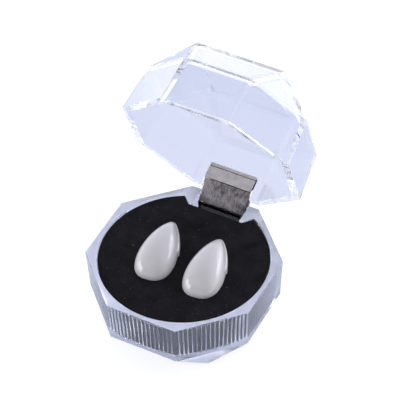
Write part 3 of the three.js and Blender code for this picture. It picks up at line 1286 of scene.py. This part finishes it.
@dataclass(frozen=True)
class SoftBox:
    """A soft box that faces the object and gives surfaces a highlight."""

    name: str
    place: tuple[float, float, float]
    size: tuple[float, float]
    watts: float
    lit: Lit
    colour: tuple[float, float, float] = (0.86, 0.9, 1.0)

    def hang(self) -> None:
        """Hangs the lamp and links it to the pieces it lights."""
        data = bpy.data.lights.new(self.name, "AREA")
        data.shape = "RECTANGLE"
        data.size, data.size_y = self.size
        data.energy = self.watts
        data.color = self.colour
        lamp = bpy.data.objects.new(self.name, data)
        lamp.location = self.place
        lamp.rotation_euler = (-Vector(self.place)).to_track_quat("-Z", "Y").to_euler()
        bpy.context.scene.collection.objects.link(lamp)
        receivers = bpy.data.collections.new(f"{self.name}_lights")
        for piece in bpy.context.scene.objects:
            if piece.type == "MESH" and self.lit.takes(piece.name):
                receivers.objects.link(piece)
        lamp.light_linking.receiver_collection = receivers


SOFT_BOXES = (
    SoftBox("soft_box_left", (-0.5, -0.36, 0.15), (0.5, 0.26), 1.6, Lit.ALL_BUT_ACRYLIC),
    SoftBox("soft_box_back", (0.345, 0.49, 0.14), (0.45, 0.22), 0.93, Lit.ALL),
    SoftBox("soft_box_top", (-0.1, 0.1, 0.5), (0.5, 0.5), 1.3, Lit.ACRYLIC_BASE, (0.7, 0.74, 1.0)),
)


@dataclass(frozen=True)
class Studio:
    """A light tent round a table: pale lavender cloth at the sides, dimmer where the camera looks in."""

    table_size: float = 4.0
    table_drop: float = 0.02 * MM
    table_white: str = "C8C8CA"
    table_glow: float = 0.78
    cloth: str = "DCE2F6"
    cloth_reach: float = 0.13
    far_glow: float = 1.6
    # Painted shadow: near the box the table's lavender glow darkens to this colour.
    shade: str = "A9AFC8"
    shade_reach: float = 16 * MM
    backdrop_light: float = 1.2
    opening_light: float = 0.3
    opening_way: tuple[float, float, float] = (-0.15, -0.85, 0.5)
    opening_edge: tuple[float, float] = (-0.1, 0.75)
    tent: str = "F0F2FF"
    clear_bounces: int = 64
    diffuse_bounces: int = 4

    def build_table(self) -> None:
        """Builds the table: plain white to look at, and lavender in what it lights and shines through, with
        a painted shadow round the box.
        """
        bpy.ops.mesh.primitive_plane_add(size=self.table_size, location=(0, 0, -self.table_drop))
        table = named("table_top")
        material, tree = empty_material("lit_white_table")
        direct = add_node(tree, "ShaderNodeLightPath")
        white = add_node(
            tree, "ShaderNodeBsdfPrincipled",
            {"Base Color": linear(self.table_white), "Roughness": 0.9, "Specular IOR Level": 0.1,
             "Emission Color": (1.0, 1.0, 1.0, 1.0), "Emission Strength": self.table_glow},
        )
        place = add_node(tree, "ShaderNodeTexCoord")
        away = add_node(tree, "ShaderNodeVectorMath", {0: place.outputs["Object"]}, operation="LENGTH")
        spread, beside = (
            add_node(
                tree, "ShaderNodeMapRange",
                {"Value": away.outputs["Value"], "From Min": reach, "From Max": 2 * reach},
                interpolation_type="SMOOTHSTEP",
            )
            for reach in (self.cloth_reach, self.shade_reach)
        )
        # Painted shadow: within shade_reach of the box's middle the lavender glow darkens to the shade
        # colour, a contact shadow painted into what the acrylic sees.
        shaded = add_node(
            tree, "ShaderNodeMix",
            {"Factor": beside.outputs["Result"], 6: linear(self.shade), 7: linear(self.cloth)},
            data_type="RGBA",
        )
        colour = add_node(
            tree, "ShaderNodeMix",
            {"Factor": spread.outputs["Result"], 6: shaded.outputs[2], 7: linear("FFFFFF")},
            data_type="RGBA",
        )
        glow = add_node(
            tree, "ShaderNodeMapRange",
            {"Value": spread.outputs["Result"], "To Min": 1.0, "To Max": self.far_glow},
        )
        tinted = add_node(
            tree, "ShaderNodeEmission", {"Color": colour.outputs[2], "Strength": glow.outputs["Result"]},
        )
        surface = add_node(
            tree, "ShaderNodeMixShader",
            {"Fac": direct.outputs["Is Camera Ray"], 1: tinted.outputs["Emission"],
             2: white.outputs["BSDF"]},
        )
        add_node(tree, "ShaderNodeOutputMaterial", {"Surface": surface.outputs["Shader"]})
        dress(table, material)

    def build_tent(self) -> None:
        """Builds the tent's light, with the dimmer opening in front and above."""
        world = bpy.data.worlds.new("light_tent")
        world.use_nodes = True
        tree = world.node_tree
        tree.nodes.clear()
        place = add_node(tree, "ShaderNodeTexCoord")
        towards = add_node(
            tree, "ShaderNodeVectorMath",
            {0: place.outputs["Generated"], 1: Vector(self.opening_way).normalized()},
            operation="DOT_PRODUCT",
        )
        level = add_node(
            tree, "ShaderNodeMapRange",
            {"Value": towards.outputs["Value"], "From Min": self.opening_edge[0],
             "From Max": self.opening_edge[1], "To Min": 1.0, "To Max": self.opening_light},
            interpolation_type="SMOOTHSTEP",
        )
        path = add_node(tree, "ShaderNodeLightPath")
        strength = add_node(
            tree, "ShaderNodeMix",
            {"Factor": path.outputs["Is Transmission Ray"], 2: level.outputs["Result"],
             3: self.backdrop_light},
        )
        light = add_node(
            tree, "ShaderNodeBackground",
            {"Color": linear(self.tent), "Strength": strength.outputs[0]},
        )
        add_node(tree, "ShaderNodeOutputWorld", {"Surface": light.outputs["Background"]})
        bpy.context.scene.world = world

    def build(self) -> None:
        """Builds the studio and sets how light travels in the clear box."""
        self.build_table()
        self.build_tent()
        for soft_box in SOFT_BOXES:
            soft_box.hang()
        scene = bpy.context.scene
        scene.view_settings.view_transform = "Standard"
        scene.cycles.max_bounces = self.clear_bounces
        scene.cycles.transmission_bounces = self.clear_bounces
        scene.cycles.glossy_bounces = self.clear_bounces
        scene.cycles.diffuse_bounces = self.diffuse_bounces


def main() -> None:
    """Loads the frame and builds the object and its studio."""
    logging.basicConfig(level=logging.INFO, format="%(name)s: %(message)s")
    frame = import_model()
    hinge = next(joint for joint in frame["joints"] if joint["name"] == "lid_hinge")
    pivot = Pivot(hinge["pos_m"][1], hinge["pos_m"][2], math.radians(hinge["range_deg"][1]))
    base_low, base_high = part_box("box_base")
    Camera().build(base_high.z)
    clear_box = ClearBox(pivot, rim_z=base_high.z, across_flats=base_high.x - base_low.x)
    clear_box.build()
    pad_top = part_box("velvet_pad")[1].z
    VelvetPad(clear_box, pad_top).build()
    FangPair(pad_top).build()
    Hinge(pivot).build()
    Studio().build()


if __name__ == "__main__":
    main()
